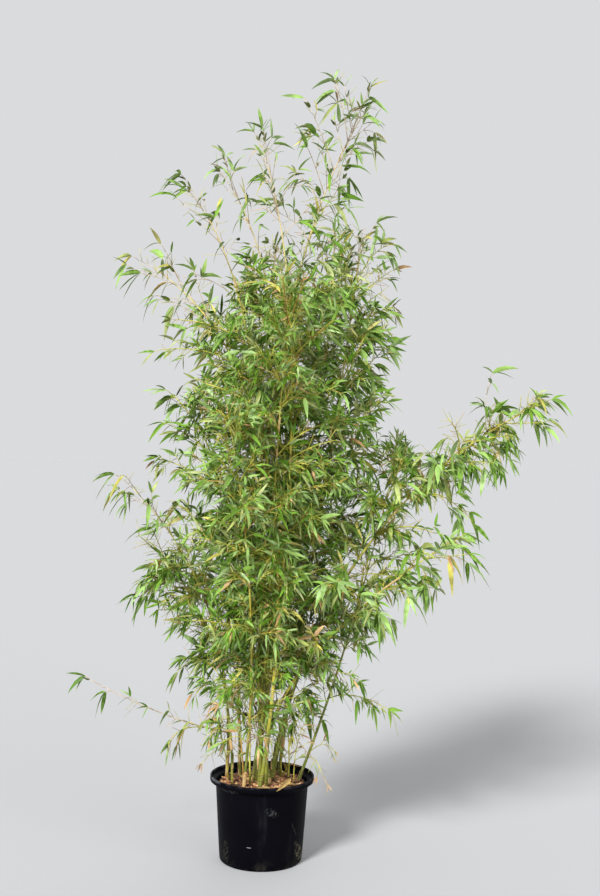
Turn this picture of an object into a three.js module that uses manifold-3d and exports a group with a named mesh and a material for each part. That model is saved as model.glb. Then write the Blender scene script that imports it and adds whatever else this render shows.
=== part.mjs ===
// A tall clump of bamboo in a round nursery pot: the pot, its fill of bark chips, sixteen culms,
// and the masses of twigs and leaves that the culms carry.
// Millimetres, +Z up. The origin is the middle of the pot's flat underside, and the plant's
// widest view is the one that looks along +Y.

import * as THREE from "three";
import { mergeVertices } from "three/addons/utils/BufferGeometryUtils.js";
import Module from "manifold-3d";

const wasm = await Module();
wasm.setup();

// Pot: radii and heights of a straight-sided container with a rolled rim.
const POT_HEIGHT = 275;
const POT_BASE_RADIUS = 134;
const POT_TOP_RADIUS = 150;
const POT_WALL = 3;
const POT_FLOOR = 4;
const POT_EDGE = 8; // rounding where the wall meets the underside
const RIM_RADIUS = 169;
const RIM_DEPTH = 22; // height of the rolled lip
const RIM_ROLL = 6; // rounding of the lip's outer edges
const POT_SIDES = 32;

// Soil: the bark fill stands this far below the rim, domed a little at its middle.
const SOIL_TOP = 255;
const SOIL_FALL = 5; // how far the fill drops from its level middle to the wall
const SOIL_LEVEL_RADIUS = 122; // the level middle that every culm stands on
const GAP = 0.3; // clearance between neighbouring pieces
const CUT_GAP = 0.36; // the same on a culm's corners, so that its flats clear by the gap too

// Culms.
const CULM_SIDES = 6;
const CULM_RINGS = 12;
const CULM_TAPER = 0.8; // share of the foot's radius that is lost by the tip
const LEADER_FROM = 0.84; // the culm's solid ends here and its tip mass goes on
const NODE_STEP = 70; // average distance between two nodes of a culm

// Each culm: foot on the soil, knee that its curve bends towards, tip of its leader, radius at
// the foot, height below which it is bare, and how many side boughs stand on it.
const CULMS = [
  makeCulm("tallest", [3, -22], [-100, 0, 1700], [262, 40, 2400], 7.0, 420, 2),
  makeCulm("second", [-22, -36], [170, -80, 1650], [-30, -60, 2270], 6.5, 400, 2),
  makeCulm("upper_left", [-30, 20], [150, 30, 1760], [-150, 90, 2210], 6.0, 440, 2),
  makeCulm("left_top", [-8, -64], [50, -80, 1720], [-235, -50, 2110], 6.2, 400, 1),
  makeCulm("left_high", [-4, -112], [182, -160, 1540], [-390, 30, 1920], 6.0, 380, 1),
  makeCulm("left_mid", [-75, 50], [-90, 40, 1010], [-220, -40, 1470], 5.0, 360, 1),
  makeCulm("left_low", [-118, 36], [-85, 48, 840], [-430, -80, 1200], 4.6, 520, 1),
  makeCulm("left_sprawl", [-96, -40], [-96, -40, 730], [-365, 60, 995], 4.2, 540, 0),
  makeCulm("right_lean", [24, -42], [-62, -48, 591], [550, -110, 1030], 7.0, 460, 1),
  makeCulm("right_arm", [24, -10], [170, 0, 1100], [835, 30, 1475], 6.5, 460, 2),
  makeCulm("right_back", [118, 6], [280, 40, 678], [415, 120, 1265], 5.0, 620, 1),
  makeCulm("right_top", [34, 22], [215, 37, 1340], [290, 120, 2020], 6.0, 460, 2),
  makeCulm("front", [16, -74], [0, -105, 1120], [60, -235, 1750], 5.6, 400, 2),
  makeCulm("back", [-12, 40], [-10, 82, 1280], [0, 250, 1960], 6.0, 420, 2),
  makeCulm("back_right", [52, 62], [170, 98, 1240], [205, 240, 2020], 5.8, 460, 1),
  makeCulm("front_left", [-56, -90], [-2, -138, 800], [-110, -235, 1380], 4.8, 360, 1),
];

// Two long low branches that arch out of the clump near the pot.
const LOW_BRANCHES = [
  { name: "far_left", on: "left_low", height: 400, knee: [-310, -10, 440], tip: [-535, -20, 580] },
  { name: "low_right", on: "right_back", height: 520, knee: [290, 0, 560], tip: [390, -40, 500] },
];

// Twigs and leaves.
const GOLDEN_ANGLE = 2.399963;
const BOUGH_STRETCH = 1.45; // a side bough stands for the branches of several nodes
const BOUGH_TWIGS = 4;
const LEAN_SAG = 0.7; // how much lower a branch hangs the more its culm leans
const BOUGH_SWINGS = 12; // directions tried round the culm
const BOUGH_FREE = 0.1; // no side bough stands on this last share of a culm below its tip mass
const GOLDEN_SHARE = 0.618034; // spreads the boughs of different culms over the height
const TIP_TWIGS = 4;
const TIP_TWIG_SHARE = 0.6; // how much of a branch is drawn, since the leaves here are long
const STEM_PIECES = 3;
const STEM_RADII = [3.6, 2.2]; // at the root and at the end
const TWIG_RADIUS = 2.0;
const TWIG_END_RADIUS = 1.5;
const TWIG_LENGTH = [50, 95];
const LOW_TWIG_LENGTH = [30, 60];
const LOW_SEED = 500;
const LEAVES_ON_TWIG = [3, 2, 3, 2]; // on the stem's end first, then on each twig in turn
const TWIG_LEAVES_FROM = 0.1; // share of a twig, or of a stem, behind which no leaf stands
const END_LEAVES_FROM = 0.8;
const LEAF_LENGTH = [145, 200]; // larger than life, because each stands for a spray
const END_LEAF_SHARE = 0.7; // leaves at a stem's own end are shorter
const LEAF_WIDTH = 0.27; // share of the length
const LEAF_THICKNESS = 0.02; // share of the length
const LEAF_ROLL = 2.4; // range of the leaves' turn about their own line
const LEAF_ROOT = 1; // how far past its twig's centre line a leaf's root is sunk
const MASS_GAP = 1.2; // twigs and leaves keep this far from every other mass and limb
const HOME_SHARE = 0.8; // another mass's stem may be nearer than its own by this share

const UP = new THREE.Vector3(0, 0, 1);

// A repeatable number from 0 to 1 for each culm, node and draw.
function chance(culm, node, draw) {
  const h = Math.sin(culm * 12.9898 + node * 78.233 + draw * 37.719) * 43758.5453;
  return h - Math.floor(h);
}

function between([low, high], share) {
  return low + (high - low) * share;
}

function point([x, y, z]) {
  return new THREE.Vector3(x, y, z);
}

// A culm with its centre line, the places of its nodes along it and its first leafy node.
function makeCulm(name, [footX, footY], knee, tip, radius, bare, boughs) {
  const foot = new THREE.Vector3(footX, footY, SOIL_TOP + GAP);
  const line = new THREE.QuadraticBezierCurve3(foot, point(knee), point(tip));
  const shares = nodeShares(line);
  const first = shares.find((share) => line.getPoint(share).z > bare);
  return { name, line, shares, first, radius, boughs };
}

function culmRadius(culm, share) {
  return culm.radius * (1 - CULM_TAPER * share);
}

// Where the nodes sit along a culm: short steps at the foot and the tip, long ones between.
function nodeShares(line) {
  const count = Math.max(6, Math.round(line.getLength() / NODE_STEP));
  const step = (j) => 0.42 + Math.sin((Math.PI * (j + 0.5)) / count) ** 0.8;
  const steps = Array.from({ length: count }, (_, j) => step(j));
  const whole = steps.reduce((sum, step) => sum + step, 0);
  let sum = 0;
  return steps.map((step) => (sum += step) / whole);
}

// The branch that node j of culm k sends out: its root, bend and end.
function branch(line, k, j, share, first, stretch, swing = 0) {
  const root = line.getPoint(share);
  const along = line.getTangent(share);
  const u = (share - first) / (1 - first);
  const tipward = THREE.MathUtils.smoothstep(u, 0.55, 1);
  const turn = k * GOLDEN_ANGLE + (j % 2) * Math.PI + (chance(k, j, 3) - 0.5) * 1.6 + swing;
  const out = new THREE.Vector3(Math.cos(turn), Math.sin(turn), 0);
  out.addScaledVector(along, -0.6 * out.dot(along));
  out.addScaledVector(UP, -LEAN_SAG * (1 - along.z)).normalize();
  const lift = 0.4 - LEAN_SAG * (1 - along.z);
  const rise = along.clone().multiplyScalar(0.6).addScaledVector(UP, lift).normalize();
  const size = (70 + 165 * Math.sin(Math.PI * (0.16 + 0.62 * u))) * (0.65 + 0.7 * chance(k, j, 5));
  const bend = root.clone().addScaledVector(out, 0.28 * size);
  bend.addScaledVector(rise, 0.36 * size * stretch);
  const end = root.clone().addScaledVector(out, (0.86 - 0.36 * tipward) * size);
  end.addScaledVector(rise, (0.42 + 0.28 * tipward) * size * stretch);
  return new THREE.QuadraticBezierCurve3(root, bend, end);
}

// A closed piece drops its uv and normal attributes, and its shared corners are merged.
function closed(geometry) {
  geometry.deleteAttribute("uv");
  geometry.deleteAttribute("normal");
  return mergeVertices(geometry, 1e-4);
}

function corners(geometry) {
  const position = geometry.getAttribute("position");
  const corner = (i) => new THREE.Vector3().fromBufferAttribute(position, i);
  return Array.from({ length: position.count }, (_, i) => corner(i));
}

// A tapering limb of a few flat sides, bent along a curve between two shares of it. Its rings
// stand square to the curve, and a level foot lies flat.
function limb(curve, from, to, radiusFrom, radiusTo, sides, rings, levelFoot = false) {
  const geometry = new THREE.CylinderGeometry(radiusTo, radiusFrom, 1, sides, rings);
  const position = geometry.getAttribute("position");
  const aside = curve.getTangent(from).cross(new THREE.Vector3(0.13, 1, 0.07)).normalize();
  for (let i = 0; i < position.count; i++) {
    const share = position.getY(i) + 0.5;
    const t = from + (to - from) * share;
    const along = levelFoot && share < 1e-6 ? UP.clone() : curve.getTangent(t);
    const one = aside.clone().addScaledVector(along, -aside.dot(along)).normalize();
    const two = along.clone().cross(one);
    const at = curve.getPoint(t).addScaledVector(one, position.getX(i));
    at.addScaledVector(two, -position.getZ(i));
    position.setXYZ(i, at.x, at.y, at.z);
  }
  return closed(geometry);
}

// A leaf of eight faces: a long flat lozenge whose widest place is nearer its root.
function leaf(root, direction, length, roll) {
  const flat = direction.clone().cross(UP).normalize().applyAxisAngle(direction, roll);
  const face = flat.clone().cross(direction).normalize();
  const geometry = new THREE.OctahedronGeometry(1);
  const position = geometry.getAttribute("position");
  for (let i = 0; i < position.count; i++) {
    const [x, y, z] = [position.getX(i), position.getY(i), position.getZ(i)];
    const along = y > 0.5 ? length : y < -0.5 ? -LEAF_ROOT : 0.4 * length;
    const at = root.clone().addScaledVector(direction, along);
    at.addScaledVector(flat, 0.5 * LEAF_WIDTH * length * x);
    at.addScaledVector(face, 0.5 * LEAF_THICKNESS * length * z);
    position.setXYZ(i, at.x, at.y, at.z);
  }
  return closed(geometry);
}

// Whether two convex pieces stand clear of each other: some direction, square to a face of
// either or to an edge of each, sees a gap between them.
function apart(one, two, gap) {
  const near = one.box.clone().expandByScalar(gap);
  if (!near.intersectsBox(two.box)) return true;
  const seesGap = (axis) => {
    if (axis.lengthSq() < 1e-9) return false;
    axis.normalize();
    const a = one.points.map((p) => p.dot(axis));
    const b = two.points.map((p) => p.dot(axis));
    return Math.min(...a) - Math.max(...b) > gap || Math.min(...b) - Math.max(...a) > gap;
  };
  if ([...one.faces, ...two.faces].some((axis) => seesGap(axis.clone()))) return true;
  return one.edges.some((a) => two.edges.some((b) => seesGap(a.clone().cross(b))));
}

// What the test above needs of a convex piece: its corners, face directions and edges.
function convex(geometry) {
  const points = corners(geometry);
  const index = geometry.getIndex();
  const faces = [];
  const edges = [];
  const addOnce = (list, axis) => {
    if (!list.some((other) => Math.abs(other.dot(axis)) > 0.9999)) list.push(axis);
  };
  for (let i = 0; i < index.count; i += 3) {
    const [a, b, c] = [0, 1, 2].map((n) => points[index.getX(i + n)]);
    const sides = [b.clone().sub(a), c.clone().sub(b), a.clone().sub(c)];
    addOnce(faces, sides[0].clone().cross(sides[1]).normalize());
    for (const side of sides) addOnce(edges, side.normalize());
  }
  return { geometry, points, faces, edges, box: new THREE.Box3().setFromPoints(points) };
}

// Distance from a point to the straight line between a stem's two ends.
function distanceToStem(at, stem) {
  return stem.closestPointToPoint(at, true, new THREE.Vector3()).distanceTo(at);
}

function solid(geometry) {
  const vertProperties = new Float32Array(geometry.getAttribute("position").array);
  const triVerts = new Uint32Array(geometry.getIndex().array);
  return new wasm.Manifold(new wasm.Mesh({ numProp: 3, vertProperties, triVerts }));
}

function geometryOf(manifold) {
  const mesh = manifold.getMesh();
  const geometry = new THREE.BufferGeometry();
  geometry.setAttribute("position", new THREE.BufferAttribute(new Float32Array(mesh.vertProperties), 3));
  geometry.setIndex(new THREE.BufferAttribute(new Uint32Array(mesh.triVerts), 1));
  return geometry;
}

// The pieces of a mass joined to one body, without any scrap that came loose.
function joined(pieces, cut) {
  let body = pieces.map(solid).reduce((whole, piece) => whole.add(piece));
  if (cut) body = body.subtract(cut);
  const parts = body.decompose().sort((a, b) => b.volume() - a.volume());
  return geometryOf(parts[0]);
}

// A mass of foliage is a stem, the twigs on it, and fans of leaves at their ends.
function tipMass(culm, k) {
  const from = LEADER_FROM + GAP / culm.line.getLength();
  const nodes = culm.shares.map((share, j) => ({ share, j }));
  const free = nodes.filter(({ share }) => share > from && share < 0.99);
  const step = Math.max(1, free.length / TIP_TWIGS);
  const chosen = free.filter((_, i) => Math.floor(i / step) !== Math.floor((i - 1) / step));
  const twigs = chosen.map(({ share, j }) => {
    const whole = branch(culm.line, k, j, share, culm.first, 1);
    return new THREE.LineCurve3(whole.getPoint(0), whole.getPoint(TIP_TWIG_SHARE));
  });
  const radii = [culmRadius(culm, from), STEM_RADII[1]];
  return { name: `tip_leaves_${culm.name}`, curve: culm.line, from, to: 1, radii, twigs };
}

// Twigs on alternate sides of a stem, each turned about it by a draw of its own.
function twigsAlong(curve, seed, count, lengths) {
  return Array.from({ length: count }, (_, i) => {
    const t = 1 - ((i + 1) / (count + 1)) * 0.86;
    const root = curve.getPoint(t);
    const along = curve.getTangent(t);
    const side = along.clone().cross(UP).normalize().multiplyScalar(i % 2 ? 1 : -1);
    side.applyAxisAngle(along, (chance(seed, i, 20) - 0.5) * 2.2);
    const way = along.clone().addScaledVector(side, 1.1).addScaledVector(UP, 0.1).normalize();
    const end = root.clone().addScaledVector(way, between(lengths, chance(seed, i, 60)));
    return new THREE.LineCurve3(root, end);
  });
}

// The stem of a mass as short convex pieces.
function stemPieces({ curve, from, to, radii }) {
  return Array.from({ length: STEM_PIECES }, (_, i) => {
    const [start, end] = [i, i + 1].map((n) => from + ((to - from) * n) / STEM_PIECES);
    const [wide, narrow] = [i, i + 1].map((n) => between(radii, n / STEM_PIECES));
    return convex(limb(curve, start, end, wide, narrow, 3, 1));
  });
}

// A side bough leaves its culm at a node, steep as bamboo's branches are. Of the directions
// round the culm it takes the one with the most room, clear of the other culms and stems.
function boughMass(culm, k, number, limbs, taken) {
  const reach = LEADER_FROM - BOUGH_FREE - culm.first;
  const step = 0.15 + 0.7 * ((k * GOLDEN_SHARE) % 1);
  const wanted = culm.first + (reach * (number + step)) / culm.boughs;
  const j = culm.shares.findIndex((share) => share >= wanted);
  const others = [...limbs.filter((piece) => piece.culm !== culm), ...taken];
  const ways = Array.from({ length: BOUGH_SWINGS }, (_, i) => {
    const swing = (i / BOUGH_SWINGS) * 2 * Math.PI;
    const curve = branch(culm.line, k, j, culm.shares[j], culm.first, BOUGH_STRETCH, swing);
    const room = Math.min(...others.map(({ box }) => box.distanceToPoint(curve.getPoint(0.8))));
    return { curve, room };
  }).sort((a, b) => b.room - a.room);
  const { curve } = ways.find((way) =>
    stemPieces({ curve: way.curve, from: 0, to: 1, radii: STEM_RADII }).every((piece) =>
      others.every((other) => apart(piece, other, MASS_GAP)),
    ),
  );
  const twigs = twigsAlong(curve, k * 10 + number, BOUGH_TWIGS, TWIG_LENGTH);
  const name = `side_leaves_${culm.name}_${number + 1}`;
  return { name, cutFrom: culm, curve, from: 0, to: 1, radii: STEM_RADII, twigs };
}

// A low branch leaves its culm at the first node above its height.
function lowMass({ name, on, height, knee, tip }, number) {
  const cutFrom = CULMS.find((other) => other.name === on);
  const share = cutFrom.shares.find((value) => cutFrom.line.getPoint(value).z >= height);
  const curve = new THREE.QuadraticBezierCurve3(cutFrom.line.getPoint(share), point(knee), point(tip));
  const twigs = twigsAlong(curve, LOW_SEED + number, BOUGH_TWIGS, LOW_TWIG_LENGTH);
  return { name: `low_leaves_${name}`, cutFrom, curve, from: 0, to: 1, radii: STEM_RADII, twigs };
}

// The fan of leaves along a twig: one at its end, the others on alternate sides behind it.
function fan(twig, seed, from, scale, count) {
  return Array.from({ length: count }, (_, i) => {
    const t = 1 - (1 - from) * (i / count);
    const along = twig.getTangent(t);
    const side = along.clone().cross(UP).normalize();
    side.applyAxisAngle(along, (chance(seed, 2, i) - 0.5) * 2.6);
    const spread = i === 0 ? 0.1 : (i % 2 ? 1 : -1) * 0.85;
    const way = along.clone().addScaledVector(side, spread).addScaledVector(UP, -0.2).normalize();
    const root = twig.getPoint(t);
    const length = between(LEAF_LENGTH, chance(seed, 4, i)) * scale;
    const tip = root.clone().addScaledVector(way, length);
    return { tip, blade: leaf(root, way, length, (chance(seed, 6, i) - 0.5) * LEAF_ROLL) };
  });
}

// Grows the twigs and leaves of a mass. Its space is where its own stem is the nearest, and a
// piece that would leave it, or touch a limb or any leaf but its own twig's, is skipped.
function grow(mass, number, masses, taken, limbs) {
  const own = [];
  const isHome = (at) => {
    const home = distanceToStem(at, mass.stem);
    return masses.every((other) => other === mass || distanceToStem(at, other.stem) > home * HOME_SHARE);
  };
  const place = (geometry, end, part, carrier) => {
    const piece = { ...convex(geometry), mass, part };
    const meets = (other) => other.mass !== mass || (other.part && other.part !== carrier);
    const isBlocked = [...limbs, ...taken].some((other) => meets(other) && !apart(piece, other, MASS_GAP));
    if (isBlocked || !isHome(end)) return false;
    own.push(geometry);
    taken.push(piece);
    return true;
  };
  const placeLeaves = (twig, turn, from, scale) => {
    const count = LEAVES_ON_TWIG[turn % LEAVES_ON_TWIG.length];
    const leaves = fan(twig, number * 40 + turn, from, scale, count);
    for (const { blade, tip } of leaves) place(blade, tip, blade, twig);
  };
  placeLeaves(mass.curve, 0, END_LEAVES_FROM, END_LEAF_SHARE);
  mass.twigs.forEach((twig, i) => {
    const stick = limb(twig, 0, 1, TWIG_RADIUS, TWIG_END_RADIUS, 3, 1);
    if (place(stick, twig.getPoint(1), twig)) placeLeaves(twig, i + 1, TWIG_LEAVES_FROM, 1);
  });
  return own;
}

function finish(color, roughness) {
  return new THREE.MeshStandardMaterial({ color, roughness, metalness: 0 });
}

// A ring of revolution about +Z from a closed profile of [radius, height] points.
function turned(profile, sides) {
  const geometry = new THREE.LatheGeometry(profile.map(([r, z]) => new THREE.Vector2(r, z)), sides);
  geometry.rotateX(Math.PI / 2);
  return closed(geometry);
}

function pot() {
  const lipUnder = POT_HEIGHT - RIM_DEPTH;
  const inner = POT_TOP_RADIUS - POT_WALL;
  return turned(
    [
      [0, 0],
      [POT_BASE_RADIUS - POT_EDGE, 0],
      [POT_BASE_RADIUS - 1, POT_EDGE * 0.3],
      [POT_BASE_RADIUS, POT_EDGE],
      [POT_TOP_RADIUS, lipUnder - 8],
      [POT_TOP_RADIUS + 4, lipUnder],
      [RIM_RADIUS - RIM_ROLL, lipUnder],
      [RIM_RADIUS, lipUnder + RIM_ROLL],
      [RIM_RADIUS, POT_HEIGHT - RIM_ROLL],
      [RIM_RADIUS - RIM_ROLL, POT_HEIGHT],
      [POT_TOP_RADIUS + 2, POT_HEIGHT],
      [inner, POT_HEIGHT - RIM_ROLL],
      [POT_BASE_RADIUS - POT_WALL, POT_FLOOR],
      [0, POT_FLOOR],
    ],
    POT_SIDES,
  );
}

function soil() {
  const wallAt = (z) => {
    const share = (z - POT_FLOOR) / (POT_HEIGHT - RIM_ROLL - POT_FLOOR);
    const inner = POT_BASE_RADIUS + (POT_TOP_RADIUS - POT_BASE_RADIUS) * share;
    return inner - POT_WALL - 2 * GAP;
  };
  const bottom = POT_FLOOR + GAP;
  const edge = SOIL_TOP - SOIL_FALL;
  const profile = [
    [0, bottom],
    [wallAt(bottom), bottom],
    [wallAt(edge), edge],
    [SOIL_LEVEL_RADIUS, SOIL_TOP],
    [0, SOIL_TOP],
  ];
  return turned(profile, POT_SIDES);
}

const plant = new THREE.Group();

function add(name, geometry, material) {
  const mesh = new THREE.Mesh(geometry, material);
  mesh.name = name;
  plant.add(mesh);
}

const potPlastic = finish(0x17181b, 0.45);
const barkChips = finish(0x6b3f2a, 0.95);
const culmSkin = finish(0x8a8a3c, 0.6);
const foliage = finish(0x4f8a36, 0.65);

add("pot", pot(), potPlastic);
add("soil", soil(), barkChips);

for (const { name, line, radius } of CULMS) {
  const thin = radius * (1 - CULM_TAPER * LEADER_FROM);
  add(`culm_${name}`, limb(line, 0, LEADER_FROM, radius, thin, CULM_SIDES, CULM_RINGS, true), culmSkin);
}

// The culms as short convex pieces, for the foliage to keep clear of.
const limbs = CULMS.flatMap((culm) =>
  Array.from({ length: CULM_RINGS }, (_, i) => {
    const [from, to] = [i, i + 1].map((n) => (LEADER_FROM * n) / CULM_RINGS);
    const piece = limb(culm.line, from, to, culmRadius(culm, from), culmRadius(culm, to), CULM_SIDES, 1);
    return { ...convex(piece), culm };
  }),
);

const masses = [];
const taken = [];

function claim(mass) {
  mass.stem = new THREE.Line3(mass.curve.getPoint(mass.from), mass.curve.getPoint(mass.to));
  taken.push(...stemPieces(mass).map((piece) => ({ ...piece, mass })));
  masses.push(mass);
}

CULMS.map(tipMass).forEach(claim);
LOW_BRANCHES.map(lowMass).forEach(claim);
CULMS.forEach((culm, k) => {
  for (let number = 0; number < culm.boughs; number++) claim(boughMass(culm, k, number, limbs, taken));
});

// A culm grown by the clearance, to cut a bough's root back to its surface.
function grownCulm({ line, radius }) {
  const wide = radius + CUT_GAP;
  const thin = radius * (1 - CULM_TAPER * LEADER_FROM) + CUT_GAP;
  return solid(limb(line, 0, LEADER_FROM, wide, thin, CULM_SIDES, CULM_RINGS, true));
}

masses.forEach((mass, number) => {
  const { name, curve, from, to, radii, cutFrom } = mass;
  const stem = limb(curve, from, to, radii[0], radii[1], 3, STEM_PIECES);
  const own = grow(mass, number, masses, taken, limbs);
  add(name, joined([stem, ...own], cutFrom ? grownCulm(cutFrom) : null), foliage);
});

export default plant;
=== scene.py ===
import math

import bpy
import numpy as np
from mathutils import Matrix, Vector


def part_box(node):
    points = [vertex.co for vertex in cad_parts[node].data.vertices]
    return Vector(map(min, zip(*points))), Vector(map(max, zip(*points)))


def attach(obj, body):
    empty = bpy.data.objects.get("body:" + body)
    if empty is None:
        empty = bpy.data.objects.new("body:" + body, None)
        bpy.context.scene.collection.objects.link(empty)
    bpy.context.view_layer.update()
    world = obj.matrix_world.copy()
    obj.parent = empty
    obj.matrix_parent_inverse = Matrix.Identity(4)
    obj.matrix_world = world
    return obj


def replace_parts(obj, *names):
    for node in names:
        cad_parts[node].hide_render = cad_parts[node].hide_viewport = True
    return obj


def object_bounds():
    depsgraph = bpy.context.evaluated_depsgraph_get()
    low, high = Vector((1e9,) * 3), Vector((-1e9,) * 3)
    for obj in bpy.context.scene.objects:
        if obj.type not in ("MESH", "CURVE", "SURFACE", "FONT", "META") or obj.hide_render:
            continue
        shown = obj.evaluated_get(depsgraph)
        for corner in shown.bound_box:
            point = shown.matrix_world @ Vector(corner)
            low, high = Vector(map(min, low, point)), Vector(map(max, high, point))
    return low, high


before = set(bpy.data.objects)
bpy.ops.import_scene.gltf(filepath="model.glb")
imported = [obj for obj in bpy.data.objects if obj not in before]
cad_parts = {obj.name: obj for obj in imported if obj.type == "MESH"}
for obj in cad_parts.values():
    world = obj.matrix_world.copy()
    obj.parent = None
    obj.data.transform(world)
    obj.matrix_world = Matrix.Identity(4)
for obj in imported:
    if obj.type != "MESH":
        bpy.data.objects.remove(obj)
CAD_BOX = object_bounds()
MASSES = sorted(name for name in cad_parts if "_leaves_" in name)
MM = 1000.0  # millimetres in a metre
UP = np.array([0.0, 0.0, 1.0])

# Camera, at the photograph's place: it looks level along +Y and is rolled a little.
PICTURE_HEIGHT = 896
FOCAL_PIXELS = 1202
SENSOR = 36.0
CAMERA_AT = (0.101, -3.92, 1.34)
CAMERA_ROLL = math.radians(1.2)
# Suns: where each stands, how soft it is in degrees, and its strength.
SUNS = {
    "key": ((-0.5, -0.9, 0.75), 14, 5.2),
    "fill": ((0.8, -0.8, 0.4), 50, 1.1),
    "back": ((0.25, 0.9, 0.8), 50, 0.6),
}
SKY = (0.955, 0.96, 0.975, 1)
SKY_STRENGTH = 0.74
FLOOR_COLOUR = (0.364, 0.367, 0.373, 1)
FLOOR_RADIUS = 90

# Pot and fill, from the frame.
POT_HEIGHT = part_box("pot")[1].z
RIM_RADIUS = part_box("pot")[1].x
SOIL_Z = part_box("soil")[1].z
POT_BASE_RADIUS = 0.134
POT_TOP_RADIUS = 0.15
POT_WALL = 0.003
POT_FLOOR = 0.004
POT_CORNER = 0.008
SHOULDER = 0.012  # height of the shoulder under the rim
RIM_DEPTH = 0.019
RIM_CORNER = 0.004
LIP = 0.0024  # half the rim's thickness
SOIL_RADIUS = 0.1465
SOIL_DIP = 0.006  # how far the fill lies below the canes' feet, and lower again at the wall

# The canes: foot, knee that the curve bends towards, tip, radius at the foot, height below
# which the cane is bare, leafiness, and how airy its tip is.
CANES = {
    "tallest": ((3, -22), (-100, 0, 1700), (262, 40, 2400), 7, 550, 1.12, 0.1),
    "second": ((-22, -36), (170, -80, 1650), (-30, -60, 2270), 6.5, 440, 1.15, 0.5),
    "upper_left": ((-30, 20), (150, 30, 1760), (-150, 90, 2210), 6, 440, 1.0, 0.75),
    "left_top": ((-8, -64), (50, -80, 1720), (-235, -50, 2110), 6.2, 400, 0.85, 0.75),
    "left_high": ((-4, -112), (182, -160, 1540), (-390, 30, 1920), 6, 380, 0.85, 0.8),
    "left_mid": ((-75, 50), (-90, 40, 1010), (-220, -40, 1470), 5, 360, 1.25, 0.6),
    "left_low": ((-118, 36), (-85, 48, 840), (-430, -80, 1200), 4.6, 520, 0.8, 0.75),
    "left_sprawl": ((-96, -40), (-96, -40, 730), (-365, 60, 995), 4.2, 600, 0.9, 0.4),
    "right_lean": ((24, -42), (-62, -48, 591), (550, -110, 1030), 7, 580, 1.1, 0.5),
    "right_arm": ((24, -10), (170, 0, 1100), (835, 30, 1475), 6.5, 560, 1.6, 0.62),
    "right_back": ((118, 6), (280, 40, 678), (415, 120, 1265), 5, 620, 1.15, 0.0),
    "right_top": ((34, 22), (215, 37, 1340), (290, 120, 2020), 6, 560, 1.1, 0.0),
    "front": ((16, -74), (0, -105, 1120), (60, -235, 1750), 5.6, 520, 1.1, 0.2),
    "back": ((-12, 40), (-10, 82, 1280), (0, 250, 1960), 6, 520, 1.0, 0.2),
    "back_right": ((52, 62), (170, 98, 1240), (205, 240, 2020), 5.8, 460, 1.0, 0.2),
    "front_left": ((-56, -90), (-2, -138, 800), (-110, -235, 1380), 4.8, 360, 1.1, 0.2),
}
NAMES = list(CANES)
CANE_TAPER = 0.8
CANE_SIDES = 12
NODE_STEP = 0.07

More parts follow.
